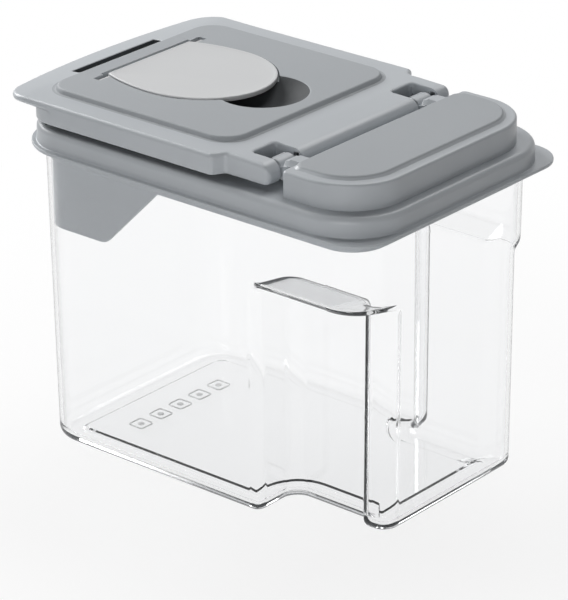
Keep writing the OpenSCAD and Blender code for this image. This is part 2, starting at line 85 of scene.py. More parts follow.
def rounded(corners, n=8):
    """A closed outline with its corners (x, y, radius) rounded."""
    out = []
    for i, (x, y, r) in enumerate(corners):
        if r == 0:
            out.append((x, y))
            continue
        p = np.array([x, y])
        u = np.array(corners[i - 1][:2]) - p
        v = np.array(corners[(i + 1) % len(corners)][:2]) - p
        u, v = u / np.linalg.norm(u), v / np.linalg.norm(v)
        half = np.arccos(np.clip(u @ v, -1, 1)) / 2
        c = p + (u + v) / np.linalg.norm(u + v) * r / sin(half)
        a, b = p + u * r / tan(half) - c, p + v * r / tan(half) - c
        t0 = atan2(a[1], a[0])
        turn = (atan2(b[1], b[0]) - t0 + pi) % (2 * pi) - pi
        out += [(c[0] + r * cos(t0 + turn * k / n), c[1] + r * sin(t0 + turn * k / n))
                for k in range(n + 1)]
    return out


def box_plan(plan, n=12):
    """Rounded rectangle from (x0, x1, half width, radius at -X, radius at +X)."""
    x0, x1, b, r0, r1 = plan
    return rounded([(x0, -b, r0), (x1, -b, r1), (x1, b, r1), (x0, b, r0)], n)


def inset(plan, d):
    """The same rounded rectangle, d smaller all round."""
    x0, x1, b, r0, r1 = plan
    return (x0 + d, x1 - d, b - d, max(r0 - d, 0.3), max(r1 - d, 0.3))


def inside_box_plan(x, y, plan):
    """Whether a point lies inside a rounded rectangle."""
    x0, x1, b, r, _ = plan
    dx, dy = max(x0 + r - x, x - x1 + r, 0), max(abs(y) - b + r, 0)
    return x0 < x < x1 and abs(y) < b and dx * dx + dy * dy < r * r


def normals_of(points):
    """Outward directions of a counter-clockwise outline."""
    p = np.array(points)
    e = np.roll(p, -1, 0) - p
    e /= np.linalg.norm(e, axis=1)[:, None]
    m = e + np.roll(e, 1, 0)
    m /= np.linalg.norm(m, axis=1)[:, None]
    return np.stack([m[:, 1], -m[:, 0]], 1)


def lift(points, z):
    """A flat outline as a ring at height z."""
    return [(x, y, z) for x, y in points]


def join_rings(rings, closed=False):
    """Points and faces of a loft. Open lofts are capped at both ends."""
    n, m = len(rings[0]), len(rings)
    points = [p for ring in rings for p in ring]
    faces = []
    for k in range(m if closed else m - 1):
        a, b = k * n, (k + 1) % m * n
        faces += [(a + i, a + (i + 1) % n, b + (i + 1) % n, b + i) for i in range(n)]
    if not closed:
        faces += [tuple(range(n))[::-1], tuple(range((m - 1) * n, m * n))]
    return points, faces


def mesh_piece(name, points, faces, outward=True):
    """A mesh in metres in the row frame, with its faces turned outwards."""
    mesh = bpy.data.meshes.new(name)
    mesh.from_pydata([((x + SHIFT) * MM, y * MM, z * MM) for x, y, z in points], [], faces)
    obj = bpy.data.objects.new(name, mesh)
    bpy.context.scene.collection.objects.link(obj)
    if outward:
        bm = bmesh.new()
        bm.from_mesh(mesh)
        bmesh.ops.remove_doubles(bm, verts=bm.verts, dist=1e-7)
        bmesh.ops.recalc_face_normals(bm, faces=bm.faces)
        if bm.calc_volume(signed=True) < 0:
            bmesh.ops.reverse_faces(bm, faces=bm.faces)
        bm.to_mesh(mesh)
        bm.free()
    return obj


def bake_modifiers(obj):
    """Turns an object's live modifiers into its plain mesh."""
    bpy.context.view_layer.update()
    graph = bpy.context.evaluated_depsgraph_get()
    mesh = bpy.data.meshes.new_from_object(obj.evaluated_get(graph))
    obj.modifiers.clear()
    obj.data = mesh
    return obj


def combine(obj, tools, operation="DIFFERENCE"):
    """Cuts the tools out of a mesh, or joins them to it, one by one."""
    for tool in tools:
        m = obj.modifiers.new("cut", "BOOLEAN")
        m.operation, m.solver, m.object = operation, "EXACT", tool
        bake_modifiers(obj)
        bpy.data.objects.remove(tool)
    return obj


def merge(name, parts):
    """One object from several that ride together."""
    bm = bmesh.new()
    for part in parts:
        bm.from_mesh(part.data)
        bpy.data.objects.remove(part)
    mesh = bpy.data.meshes.new(name)
    bm.to_mesh(mesh)
    bm.free()
    obj = bpy.data.objects.new(name, mesh)
    bpy.context.scene.collection.objects.link(obj)
    return obj


def open_edges(obj):
    """How many edges don't have a face on each side; 0 on a closed skin."""
    bm = bmesh.new()
    bm.from_mesh(obj.data)
    count = sum(1 for e in bm.edges if len(e.link_faces) != 2)
    bm.free()
    return count


def smooth(obj, angle=32):
    """Soft shading that leaves flat faces flat and real corners sharp."""
    mesh = obj.data
    mesh.polygons.foreach_set("use_smooth", [True] * len(mesh.polygons))
    mesh.set_sharp_from_angle(angle=radians(angle))
    m = obj.modifiers.new("weighted", "WEIGHTED_NORMAL")
    m.keep_sharp = True
    bake_modifiers(obj)
    print(f"{obj.name}: {len(obj.data.polygons)} faces, {open_edges(obj)} open edges")
    return obj


def paint_by_place(obj, materials, choose):
    """Gives each face the material that choose(x, y, z, nz) names."""
    obj.data.materials.clear()
    for m in materials:
        obj.data.materials.append(m)
    for p in obj.data.polygons:
        c = p.center
        p.material_index = choose(c.x / MM - SHIFT, c.y / MM, c.z / MM, p.normal.z)


def dress(obj, material, body, nodes=()):
    """Last step of a piece: finish, body and the CAD nodes it stands for."""
    if material is not None:
        obj.data.materials.clear()
        obj.data.materials.append(material)
    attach(obj, body)
    if nodes:
        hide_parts(*nodes)
    return obj


# %% [markdown]
# ## Shader helpers
# A finish is easier to read as arithmetic than as a web of nodes. This small
# class wraps a socket, so that adding, subtracting or multiplying sockets
# places the Math nodes by itself.

# %% Shader helpers
class Sock:
    """A node's output that can be used in an expression."""

    def __init__(self, mat, out):
        self.mat, self.out = mat, out

    def _math(self, operation, a, b):
        return self.mat.node("ShaderNodeMath", {"operation": operation}, {0: a, 1: b})

    def __add__(self, other): return self._math("ADD", self, other)
    def __radd__(self, other): return self._math("ADD", other, self)
    def __sub__(self, other): return self._math("SUBTRACT", self, other)
    def __rsub__(self, other): return self._math("SUBTRACT", other, self)
    def __mul__(self, other): return self._math("MULTIPLY", self, other)
    def __rmul__(self, other): return self._math("MULTIPLY", other, self)
    def __pow__(self, other): return self._math("POWER", self, other)


class Finish:
    """A material whose nodes are made one call at a time."""

    def __init__(self, name):
        self.material = bpy.data.materials.new(name)
        self.material.use_nodes = True
        self.tree = self.material.node_tree
        self.tree.nodes.clear()
        self.where = self.node("ShaderNodeTexCoord", {}, {}, "Object")

    def put(self, socket, value):
        if isinstance(value, Sock):
            self.tree.links.new(value.out, socket)
        else:
            socket.default_value = value

    def node(self, kind, settings, inputs, output=0):
        n = self.tree.nodes.new(kind)
        for key, value in settings.items():
            if key == "stops":
                for element, (at, colour) in zip(n.color_ramp.elements, value):
                    element.position, element.color = at, colour
            else:
                setattr(n, key, value)
        for key, value in inputs.items():
            self.put(n.inputs[key], value)
        return Sock(self, n.outputs[output])

    def noise(self, scale, detail=3.0, roughness=0.5):
        return self.node("ShaderNodeTexNoise", {}, {
            "Vector": self.where, "Scale": scale, "Detail": detail, "Roughness": roughness}, "Fac")

    def blend(self, factor, a, b):
        """Mixes two colours."""
        return self.node("ShaderNodeMix", {"data_type": "RGBA"}, {0: factor, 6: a, 7: b}, 2)

    def bump(self, height, strength, distance):
        return self.node("ShaderNodeBump", {}, {
            "Height": height, "Strength": strength, "Distance": distance})

    def surface(self, inputs):
        self.shader = self.node("ShaderNodeBsdfPrincipled", {}, inputs)
        return self.shader

    def done(self, shader=None):
        out = self.tree.nodes.new("ShaderNodeOutputMaterial")
        self.tree.links.new((shader or self.shader).out, out.inputs["Surface"])
        self.output = out
        return self.material


def grey(value, tint=0.0):
    """A linear grey that leans to blue by tint."""
    return (value * (1 - tint), value, value * (1 + tint), 1.0)


# %% [markdown]
# ## Satin plastic of the lid
# Moulded polypropylene: nearly even in colour, with a faint flow mottle and
# a very fine orange peel. The panel and the pad have a spark-eroded grain,
# which is rougher and slightly darker than the polished border.

# %% Satin and grained plastic
def satin_plastic(name, tone, rough=0.36, grain=0.03):
    f = Finish(name)
    flow = f.noise(18.0, 4.0)
    peel = f.noise(900.0, 2.0)
    f.surface({
        "Base Color": f.blend(flow, grey(tone * 0.96, 0.06), grey(tone * 1.04, 0.05)),
        "Roughness": rough + 0.08 * flow,
        "IOR": 1.49,
        "Normal": f.bump(peel, grain, 0.0002)})
    return f.done()


def grained_plastic(name, tone, ior=1.49):
    f = Finish(name)
    flow = f.noise(14.0, 4.0)
    grain = f.noise(2600.0, 2.0, 0.6)
    coarse = f.noise(1100.0, 2.0)
    speck = grain * 0.6 + coarse * 0.4
    f.surface({
        "Base Color": f.blend(0.5 * speck + 0.5 * flow, grey(tone * 0.9, 0.06), grey(tone * 1.1, 0.05)),
        "Roughness": 0.52 + 0.12 * speck,
        "IOR": ior,
        "Normal": f.bump(speck, 0.35, 0.0003)})
    return f.done()


LID_TONE = 0.455
lid_satin = satin_plastic("lid_satin", LID_TONE, 0.32)
flap_satin = satin_plastic("flap_satin", LID_TONE * 1.07, 0.30)
block_satin = satin_plastic("block_satin", LID_TONE, 0.32)
panel_grain = grained_plastic("panel_grain", 0.36)
# Near-black grain used as painted shade in the bowl, the slot and the collar in the gap under the flap.
painted_shade_grain = grained_plastic("painted_shade_grain", 0.075, 1.2)  # bowl, slot and the collar in the gap
print("lid finishes made")

# %% [markdown]
# ## Clear plastic of the tub
# Clear styrene-like plastic refracts, and it looks darker where one looks along its walls, at corners and
# silhouettes. The shader gives that with real refraction, a light absorption in the plastic's thickness and
# a painted grey shade that grows towards grazing angles, standing in for the dark reflections at the edges.
# Shadow rays pass, so the inside and the floor aren't darkened.

# %% Clear plastic
def clear_plastic(name, absorb, edge_shade_share):
    """Clear plastic; absorb is a density per metre, edge_shade_share the largest share of painted grey edge
    shade.
    """
    f = Finish(name)
    haze = f.noise(60.0, 2.0)
    edge = f.node("ShaderNodeLayerWeight", {}, {"Blend": 0.28}, "Facing")
    f.surface({
        "Base Color": (0.995, 0.997, 1.0, 1.0),
        "Roughness": 0.01 + 0.01 * haze,
        "IOR": 1.32,
        "Transmission Weight": 1.0})
    # A grey diffuse mixed in towards grazing angles: painted edge shade standing in for dark reflections at
    # corners and silhouettes.
    rim = f.node("ShaderNodeBsdfDiffuse", {}, {"Color": (0.30, 0.31, 0.32, 1.0)})
    toned = f.node("ShaderNodeMixShader", {}, {0: edge_shade_share * edge ** 3.0, 1: f.shader, 2: rim})
    path = f.tree.nodes.new("ShaderNodeLightPath")
    passing = Sock(f, path.outputs["Is Shadow Ray"]) + Sock(f, path.outputs["Is Diffuse Ray"])
    thin = f.node("ShaderNodeBsdfTransparent", {}, {"Color": (0.985, 0.987, 0.99, 1.0)})
    material = f.done(f.node("ShaderNodeMixShader", {}, {0: passing, 1: toned, 2: thin}))
    body = f.node("ShaderNodeVolumeAbsorption", {}, {"Color": (0.62, 0.64, 0.65, 1.0), "Density": absorb})
    f.tree.links.new(body.out, f.output.inputs["Volume"])
    return material


tub_clear = clear_plastic("tub_clear", 14.0, 0.9)
print("clear plastic made")

# %% [markdown]
# ## Tub
# The wall has two plans: one with the grip recesses, one plain. The loft
# blends from the first to the second under the ledge. The same rings, moved
# in by the wall's thickness, make the inside, so the tub is one closed skin.

# %% Tub outline
CORNER_N, STEP_N, LIP_N = 14, 9, 12
GRIP_X, STEP_R, STEP_IN_R, COLUMN_R, LIP_BACK, LIP_LEN = 41.5, 6.5, 7.0, 10.0, 19.5, 6.0
CORNER_R, FOOT_R = 20.0, 5.0
LEDGE_IN, LEDGE_OUT = 117.5, 120.0


def recessed_side(a, b, e, waist, column):
    """One long side with its grip recess, from the plain wall to the end."""
    rs, ri, rc = max(STEP_R - e, 0.8), STEP_IN_R + e, max(COLUMN_R - e, 1)
    sx, yb, yw, yc = GRIP_X - e, b - e, waist - e, column - e
    x2 = min(a + LIP_LEN - LIP_BACK + 0.6 * e, a - e - rc - 0.4)
    x1 = x2 - LIP_LEN
    lip = [(x1 + (x2 - x1) * i / LIP_N, yw + (yc - yw) * (1 - cos(pi * i / LIP_N)) / 2)
           for i in range(LIP_N + 1)]
    return (arc(sx - rs, yb - rs, rs, 90, 0, STEP_N) + arc(sx + ri, yw + ri, ri, 180, 270, STEP_N)
            + lip + arc(a - e - rc, yc - rc, rc, 90, 0, CORNER_N))


def plain_side(a, b, e, waist, column):
    """The same side without the recess, point for point."""
    low = recessed_side(a, b, e, waist, column)
    r, n = max(CORNER_R - e, 1), 2 * (STEP_N + 1) + LIP_N + 1
    xe = a - e - r
    return ([(min(low[i][0], xe - 0.1 * (n - i)), b - e) for i in range(n)]
            + arc(xe, b - e - r, r, 90, 0, CORNER_N))


def tub_ring(e, grip, z):
    """Outline at height z, e inside the outer face; grip is 1 in the recess."""
    d = DRAFT * (1 - z / TUB_H)
    a, b, r = TUB_A - d, TUB_B - d, max(CORNER_R - e, 1)
    sides = []
    for waist, column in ((50.5, 57.5), (40.5, 46.5)):
        up, low = plain_side(a, b, e, waist, column), recessed_side(a, b, e, waist, column)
        sides.append([(p[0] * (1 - grip) + q[0] * grip, p[1] * (1 - grip) + q[1] * grip)
                      for p, q in zip(up, low)])
    near = [(x, -y) for x, y in reversed(sides[1])]
    plan = (arc(-a + e + r, b - e - r, r, 180, 90, CORNER_N) + sides[0] + near
            + arc(-a + e + r, -b + e + r, r, 270, 180, CORNER_N))
    return lift(plan, z)


# %% [markdown]
# The profile is a list of (inset, grip, height). The ledge over the recess
# starts and ends in small fillets, as a moulding does, and the floor has a
# raised field whose border shows as fine lines through the clear wall.

# %% Tub profile
SPAN = 29.0


def ledge(e, z_in, z_out, r_in, r_out, n=6):
    """Blend from the recessed to the plain plan, with a fillet at each end."""
    out = []
    for i in range(n + 1):
        t = pi / 2 * i / n
        out.append((e, 1 - r_in * (1 - cos(t)) / SPAN, z_in - r_in * (1 - sin(t))))
    for i in range(n + 1):
        t = pi / 2 * i / n
        out.append((e, r_out * (1 - sin(t)) / SPAN, z_out + r_out * (1 - cos(t))))
    return out


def foot(e, z, r, n=10):
    return [(e + r * (1 - sin(pi / 2 * i / n)), 1, z + r * (1 - cos(pi / 2 * i / n))) for i in range(n + 1)]


def step(e, z, width, height, n=4):
    """An S-shaped step that climbs by height over width, going inwards."""
    out = []
    for i in range(n + 1):
        t = i / n
        out.append((e + width * t, 1, z + height * t * t * (3 - 2 * t)))
    return out


outside = (step(12.0, 0.0, 1.4, 0.8)[::-1] + foot(0.0, 0.0, FOOT_R)
           + [(0, 1, 60)] + ledge(0.0, LEDGE_IN, LEDGE_OUT, 3.0, 4.0)
           + [(0, 0, 164.2), (-0.45, 0, 164.65), (-0.6, 0, 165.0), (-0.6, 0, 166.1),
              (-0.45, 0, 166.5), (-0.1, 0, TUB_H)])
inside = ([(1.5, 0, TUB_H), (1.85, 0, 166.5), (WALL, 0, 166.2)]
          + ledge(WALL, LEDGE_IN + WALL, LEDGE_OUT + WALL, 5.0, 2.0)[::-1]
          + [(WALL, 1, 60)] + foot(WALL, 2.4, FOOT_R)[::-1] + step(14.0, 2.4, 1.4, 0.9))
rings = [tub_ring(*k) for k in outside + inside]
tub = mesh_piece("clear_tub", *join_rings(rings))
smooth(tub, 40)
dress(tub, tub_clear, "tub", ["container"])

# %% [markdown]
# ## Marks on the floor of the tub
# Moulds of such tubs carry a row of small signs. Ours are plain generic
# squares with a dot, because a row of the same thing is what Geometry Nodes
# are for: a line of points, one small shape on each.

# %% Row of plain marks
def socket_id(tree, name):
    """Identifier of a named input of a node group."""
    return next(i.identifier for i in tree.interface.items_tree
                if i.item_type == "SOCKET" and i.in_out == "INPUT" and i.name == name)


def new_tree(name, inputs):
    """An empty Geometry Nodes tree with named size inputs."""
    tree = bpy.data.node_groups.new(name, "GeometryNodeTree")
    for label, kind, value in inputs:
        s = tree.interface.new_socket(label, in_out="INPUT", socket_type=kind)
        if value is not None:
            s.default_value = value
    tree.interface.new_socket("Geometry", in_out="OUTPUT", socket_type="NodeSocketGeometry")
    return tree, tree.nodes.new("NodeGroupInput"), tree.nodes.new("NodeGroupOutput")


def run_tree(name, tree, values):
    """Runs a tree on an empty mesh and returns the result as a plain mesh."""
    obj = bpy.data.objects.new(name, bpy.data.meshes.new(name))
    bpy.context.scene.collection.objects.link(obj)
    m = obj.modifiers.new("nodes", "NODES")
    m.node_group = tree
    for label, value in values.items():
        m[socket_id(tree, label)] = value
    return bake_modifiers(obj)


def frosted(name):
    f = Finish(name)
    f.surface({"Base Color": grey(0.62), "Roughness": 0.55 + 0.1 * f.noise(400.0), "IOR": 1.45,
               "Transmission Weight": 0.55, "Alpha": 0.75 + 0.1 * f.noise(700.0)})
    return f.done()


def mark_row(material):
    tree, gin, gout = new_tree("mark_row", [
        ("Start", "NodeSocketVector", (0, 0, 0)), ("End", "NodeSocketVector", (0, 1, 0)),
        ("Count", "NodeSocketInt", 5), ("Size", "NodeSocketFloat", 0.008),
        ("Height", "NodeSocketFloat", 0.0004)])
    new, link = tree.nodes.new, tree.links.new
    line = new("GeometryNodeMeshLine")
    line.mode = "END_POINTS"
    link(gin.outputs["Count"], line.inputs["Count"])
    link(gin.outputs["Start"], line.inputs["Start Location"])
    link(gin.outputs["End"], line.inputs["Offset"])
    square = new("GeometryNodeCurvePrimitiveQuadrilateral")
    link(gin.outputs["Size"], square.inputs["Width"])
    link(gin.outputs["Size"], square.inputs["Height"])
    bend = new("GeometryNodeFilletCurve")
    bend.mode = "POLY"
    bend.inputs["Count"].default_value = 5
    bend.inputs["Radius"].default_value = 0.0015
    link(square.outputs[0], bend.inputs["Curve"])
    bar = new("GeometryNodeCurvePrimitiveCircle")
    bar.inputs["Resolution"].default_value = 8
    bar.inputs["Radius"].default_value = 0.0004
    sweep = new("GeometryNodeCurveToMesh")
    link(bend.outputs[0], sweep.inputs["Curve"])
    link(bar.outputs[0], sweep.inputs["Profile Curve"])
    dot = new("GeometryNodeMeshCylinder")
    dot.inputs["Vertices"].default_value = 20
    dot.inputs["Radius"].default_value = 0.0017
    link(gin.outputs["Height"], dot.inputs["Depth"])
    both = new("GeometryNodeJoinGeometry")
    link(sweep.outputs[0], both.inputs[0])
    link(dot.outputs[0], both.inputs[0])
    stamp = new("GeometryNodeInstanceOnPoints")
    link(line.outputs[0], stamp.inputs["Points"])
    link(both.outputs[0], stamp.inputs["Instance"])
    real = new("GeometryNodeRealizeInstances")
    paint = new("GeometryNodeSetMaterial")
    paint.inputs["Material"].default_value = material
    link(stamp.outputs[0], real.inputs[0])
    link(real.outputs[0], paint.inputs["Geometry"])
    link(paint.outputs[0], gout.inputs[0])
    return tree


def at(x, y, z):
    """A point in metres in the row frame."""
    return ((x + SHIFT) * MM, y * MM, z * MM)


mark_frost = frosted("mark_frost")
marks = run_tree("floor_marks", mark_row(mark_frost), {
    "Start": at(-67.5, -33, 3.35), "End": at(-67.5, 27, 3.35), "Count": 5, "Size": 0.009})
smooth(marks, 40)
dress(marks, None, "tub")

# %% [markdown]
# ## Base lid
# Brim, deck, collar, opening, plug and back to the brim: the lid's section
# is one closed line, so its whole skin is a closed loft of rounded
# rectangles, with a small fillet wherever two faces meet.

# %% Base lid
def ring_at(plan, d, z, n=14):
    return lift(box_plan(inset(plan, d), n), z)


def fillet(plan, d, z, r, quarter, n=5):
    """Rings of a quarter round that starts d inside the plan at height z. It
    goes up and turns in, or goes in and turns up."""
    out = []
    for i in range(n + 1):
        t = pi / 2 * i / n
        s, c = sin(t), cos(t)
        dd, dz = {"up_in": (r * (1 - c), r * s), "in_up": (r * s, r * (1 - c))}[quarter]
        out.append(ring_at(plan, d + dd, z + dz))
    return out


COLLAR = (-97.8, 21.8, 64.8, 13.8, 13.8)
COLLAR_Z, EDGE_Z, EDGE_R = 181.6, 168.8, 3.2
lid_rings = (
    [ring_at(BRIM, 0.5, BRIM_Z), ring_at(BRIM, 0.15, BRIM_Z + 0.15), ring_at(BRIM, 0, BRIM_Z + 0.5),
     ring_at(BRIM, 0, DECK_FOOT - 0.5)] + fillet(BRIM, 0, DECK_FOOT - 0.5, 0.5, "up_in", 4)
    + fillet(DECK, -0.7, DECK_FOOT, 0.7, "in_up", 4)
    + [ring_at(DECK, 0.1, EDGE_Z)]
    + fillet(DECK, 0.1, EDGE_Z, EDGE_R, "up_in", 9)
    + fillet(COLLAR, -0.8, DECK_Z, 0.8, "in_up", 4)
    + fillet(COLLAR, 0, COLLAR_Z - 0.6, 0.6, "up_in", 3)
    + [ring_at(OPENING, -0.4, COLLAR_Z), ring_at(OPENING, 0, COLLAR_Z - 0.4), ring_at(OPENING, 0, CEIL_Z),
       ring_at(PLUG, 1.8, CEIL_Z), ring_at(PLUG, 1.8, PLUG_Z + 0.4), ring_at(PLUG, 1.4, PLUG_Z),
       ring_at(PLUG, 0.4, PLUG_Z), ring_at(PLUG, 0, PLUG_Z + 0.4), ring_at(PLUG, 0, CEIL_Z),
       ring_at(DECK, 3.0, CEIL_Z), ring_at(DECK, 1.8, EDGE_Z - 0.4), ring_at(DECK, 1.8, BRIM_Z)])
base_lid = mesh_piece("base_lid_shell", *join_rings(lid_rings, closed=True))
smooth(base_lid)


def gap_shade_faces(x, y, z, nz):
    """The collar and the deck next to it, which lie in the flap's shadow; the dark grain on them is painted
    shade.
    """
    return 1 if z > DECK_Z - 0.05 and inside_box_plan(x, y, inset(COLLAR, -4.0)) else 0


# The collar and the deck strip next to it get painted shade, the rest the lid's satin.
paint_by_place(base_lid, [lid_satin, painted_shade_grain], gap_shade_faces)
dress(base_lid, None, "lid", ["base_lid"])

# %% [markdown]
# ## Pour chute
# The chute carries the plug's wall further down at the pouring end. Its
# lower edge runs level, turns in a soft corner and climbs at 45 degrees.

# %% Pour chute
CHUTE_END, CHUTE_R = -57.0, 9.0


def chute_bottom(x):
    """Height of the chute's lower edge at x."""
    turn = CHUTE_R * tan(radians(22.5))
    start = CHUTE_END - turn
    if x <= start:
        return CHUTE_Z
    if x >= CHUTE_END + turn * cos(radians(45)):
        return CHUTE_Z + (x - CHUTE_END)
    return CHUTE_Z + CHUTE_R - sqrt(CHUTE_R ** 2 - (x - start) ** 2)


def chute_path(d):
    """U-shaped path of the wall, d inside the plug's outer face."""
    x0, _, b, r, _ = inset(PLUG, d)
    xs = np.linspace(CHUTE_END + 35.0 - 0.02, x0 + r, 60)
    near = [(x, -b) for x in xs]
    corner = arc(x0 + r, -b + r, r, 270, 180, 14)
    half = near + corner[1:]
    return half + [(x, -y) for x, y in reversed(half)]


outer, inner = chute_path(0.5), chute_path(2.3)
stations = [[(o[0], o[1], PLUG_Z), (o[0], o[1], chute_bottom(o[0]) + 0.3),
             (o[0] * 0.83 + i[0] * 0.17, o[1] * 0.83 + i[1] * 0.17, chute_bottom(o[0])),
             (o[0] * 0.17 + i[0] * 0.83, o[1] * 0.17 + i[1] * 0.83, chute_bottom(o[0])),
             (i[0], i[1], chute_bottom(o[0]) + 0.3), (i[0], i[1], PLUG_Z)]
            for o, i in zip(outer, inner)]
chute = mesh_piece("pour_chute_wall", *join_rings(stations))
smooth(chute)
dress(chute, lid_satin, "lid", ["pour_chute"])

# %% [markdown]
# ## Seal
# A soft ring lies between the tub's rim and the lid. Its path is a rounded
# rectangle and its section is always the same, so it is a curve swept by a
# small profile in Geometry Nodes.

# %% Seal
def seal_finish():
    f = Finish("seal_soft")
    dust = f.noise(500.0)
    f.surface({"Base Color": f.blend(dust, grey(0.55), grey(0.62)), "Roughness": 0.55 + 0.15 * dust,
               "IOR": 1.43, "Normal": f.bump(dust, 0.1, 0.0002)})
    return f.done()


def swept_rectangle(material):
    tree, gin, gout = new_tree("swept_rectangle", [
        ("Length", "NodeSocketFloat", 0.2), ("Width", "NodeSocketFloat", 0.1),
        ("Corner", "NodeSocketFloat", 0.01), ("Bead Width", "NodeSocketFloat", 0.002),
        ("Bead Height", "NodeSocketFloat", 0.002), ("Centre", "NodeSocketVector", (0, 0, 0))])
    new, link = tree.nodes.new, tree.links.new
    path = new("GeometryNodeCurvePrimitiveQuadrilateral")
    link(gin.outputs["Length"], path.inputs["Width"])
    link(gin.outputs["Width"], path.inputs["Height"])
    bend = new("GeometryNodeFilletCurve")
    bend.mode = "POLY"
    bend.inputs["Count"].default_value = 16
    link(path.outputs[0], bend.inputs["Curve"])
    link(gin.outputs["Corner"], bend.inputs["Radius"])
    bead = new("GeometryNodeCurvePrimitiveQuadrilateral")
    link(gin.outputs["Bead Width"], bead.inputs["Width"])
    link(gin.outputs["Bead Height"], bead.inputs["Height"])
    soft = new("GeometryNodeFilletCurve")
    soft.mode = "POLY"
    soft.inputs["Count"].default_value = 4
    soft.inputs["Radius"].default_value = 0.0007
    link(bead.outputs[0], soft.inputs["Curve"])
    sweep = new("GeometryNodeCurveToMesh")
    link(bend.outputs[0], sweep.inputs["Curve"])
    link(soft.outputs[0], sweep.inputs["Profile Curve"])
    move = new("GeometryNodeTransform")
    link(sweep.outputs[0], move.inputs["Geometry"])
    link(gin.outputs["Centre"], move.inputs["Translation"])
    real = new("GeometryNodeRealizeInstances")
    paint = new("GeometryNodeSetMaterial")
    paint.inputs["Material"].default_value = material
    link(move.outputs[0], real.inputs[0])
    link(real.outputs[0], paint.inputs["Geometry"])
    link(paint.outputs[0], gout.inputs[0])
    return tree


seal_a, seal_b = TUB_A - 0.9, TUB_B - 0.9
seal = run_tree("lid_seal_ring", swept_rectangle(seal_finish()), {
    "Length": 2 * seal_a * MM, "Width": 2 * seal_b * MM, "Corner": 0.0191,
    "Bead Width": 0.0028, "Bead Height": 0.0031, "Centre": at(0, 0, 168.6)})
smooth(seal, 40)
dress(seal, None, "lid", ["lid_seal"])

# %% [markdown]
# ## Flap
# The flap's skin is one loft too, but its edge isn't the same all round: a
# small round along the sides and the lip, and a large one at the nose that
# rolls about the hinge. So one function gives the outline for any three
# insets: d at the sides, e at the rear end and f at the front.

# %% Flap outlines
LIP_X, BOW_R, LIP_R, LIP_T, LIP_DROP = -122.5, 380.0, 16.0, 3.4, 1.8
SKIRT_X, SKIRT_R, FLAP_B, ARM_B = -102.5, 17.0, 76.0, 69.5
JOG_0, JOG_1, CREASE_X, ARM_X, NOSE_X, SIDE_X = 20.5, 24.5, 32.0, 50.4, 50.6, -80.0
JOG_IN = 0.56  # how far the slanting jog moves forward for each mm of inset
CORNER_STEPS, BOW_STEPS = 12, 24
SPREAD = (0.15, 0.4, 0.65, 0.9)  # where the points between side and corner lie


def rear_line(d, e):
    """From the near side's front end round the rear to the far side's."""
    a, j = ARM_B - d, d * JOG_IN
    near = [(SIDE_X, -FLAP_B + d, 0), (JOG_0 - j, -FLAP_B + d, max(3 - d, 0.5)), (JOG_1 - j, -a, 3 + d),
            (CREASE_X, -a, 0), (ARM_X - e, -a, max(3 - 0.45 * (d + e), 0.5)), (ARM_X - e, -60.0, 0),
            (NOSE_X - e, -46.0, 0), (NOSE_X - e, -20.0, 0)]
    return rounded(near + [(x, -y, r) for x, y, r in reversed(near)], 8)


def top_line(d=0.0, e=0.0, f=0.0):
    """Outline of the top with its pull lip."""
    r, bow, b = LIP_R - f, BOW_R - f, FLAP_B - f
    cx = LIP_X + BOW_R
    xc = cx - sqrt((bow - r) ** 2 - (b - r) ** 2)
    lean = np.degrees(np.arcsin((b - r) / (bow - r)))
    side = [(SIDE_X + (xc - SIDE_X) * s, (FLAP_B - d) * (1 - s) + b * s) for s in SPREAD]
    front = side + arc(xc, b - r, r, 90, 180 - lean, CORNER_STEPS)
    front += arc(cx, 0, bow, 180 - lean, 180 + lean, BOW_STEPS)[1:-1]
    front += arc(xc, -b + r, r, 180 + lean, 270, CORNER_STEPS) + [(x, -y) for x, y in reversed(side)]
    return np.array(rear_line(d, e) + front)


def skirt_line(d=0.0, e=0.0, f=None):
    """Outline of the skirt, point for point; f may grow towards the front."""
    f = d if f is None else f
    c = (SKIRT_X + SKIRT_R, FLAP_B - SKIRT_R)
    side = [(SIDE_X + (c[0] - SIDE_X) * s, FLAP_B - d) for s in SPREAD]
    corner = []
    for i in range(CORNER_STEPS + 1):
        s, t = i / CORNER_STEPS, radians(90 + 90 * i / CORNER_STEPS)
        r = SKIRT_R - d + (d - f) * s * s * (3 - 2 * s)
        corner.append((c[0] + r * cos(t), c[1] + r * sin(t)))
    x, y = corner[-1]
    flat = [(x, y * (1 - 2 * i / BOW_STEPS)) for i in range(1, BOW_STEPS)]
    mirrored = [(x, -y) for x, y in reversed(side + corner)]
    return np.array(rear_line(d, e) + side + corner + flat + mirrored)


# Weights of each outline point: how much it belongs to the lip and the nose.
base_line = top_line()
facing = normals_of(base_line)
REAR_N = len(rear_line(0, 0))
front = np.ones(len(base_line))
front[:REAR_N] = 0.0
front[REAR_N:REAR_N + len(SPREAD)] = SPREAD
front[-len(SPREAD):] = SPREAD[::-1]
nose = np.where(base_line[:, 0] > ARM_X - 4, np.arcsin(np.clip(facing[:, 0], 0, 1)) * 2 / pi, 0.0)
print("flap outline points:", len(base_line), "and", len(skirt_line()))

# %% [markdown]
# From the top face outwards: the slope of the lip, the edge's round, the
# lip's underside, the skirt and the inside of the shell. The top also falls
# a little behind a faint crease, on its way to the nose.

# %% Flap shell
SIDE_R, NOSE_R, TIP_R = 2.4, 6.3, 1.7
SLOPE_X, CREASE_DROP = -103.4, 0.45


def top_z(x):
    """Height of the flap's top at x."""
    lip = np.clip((SLOPE_X - x) / (SLOPE_X - LIP_X), 0, 1)
    rear = np.clip((x - CREASE_X) / (NOSE_X - NOSE_R - CREASE_X), 0, 1)
    return FLAP_Z - LIP_DROP * lip ** 1.1 - CREASE_DROP * rear


def at_height(line, z):
    """An outline as a ring; z is one height or one for each point."""
    zz = z * np.ones(len(line))
    return [(x, y, h) for (x, y), h in zip(line, zz)]


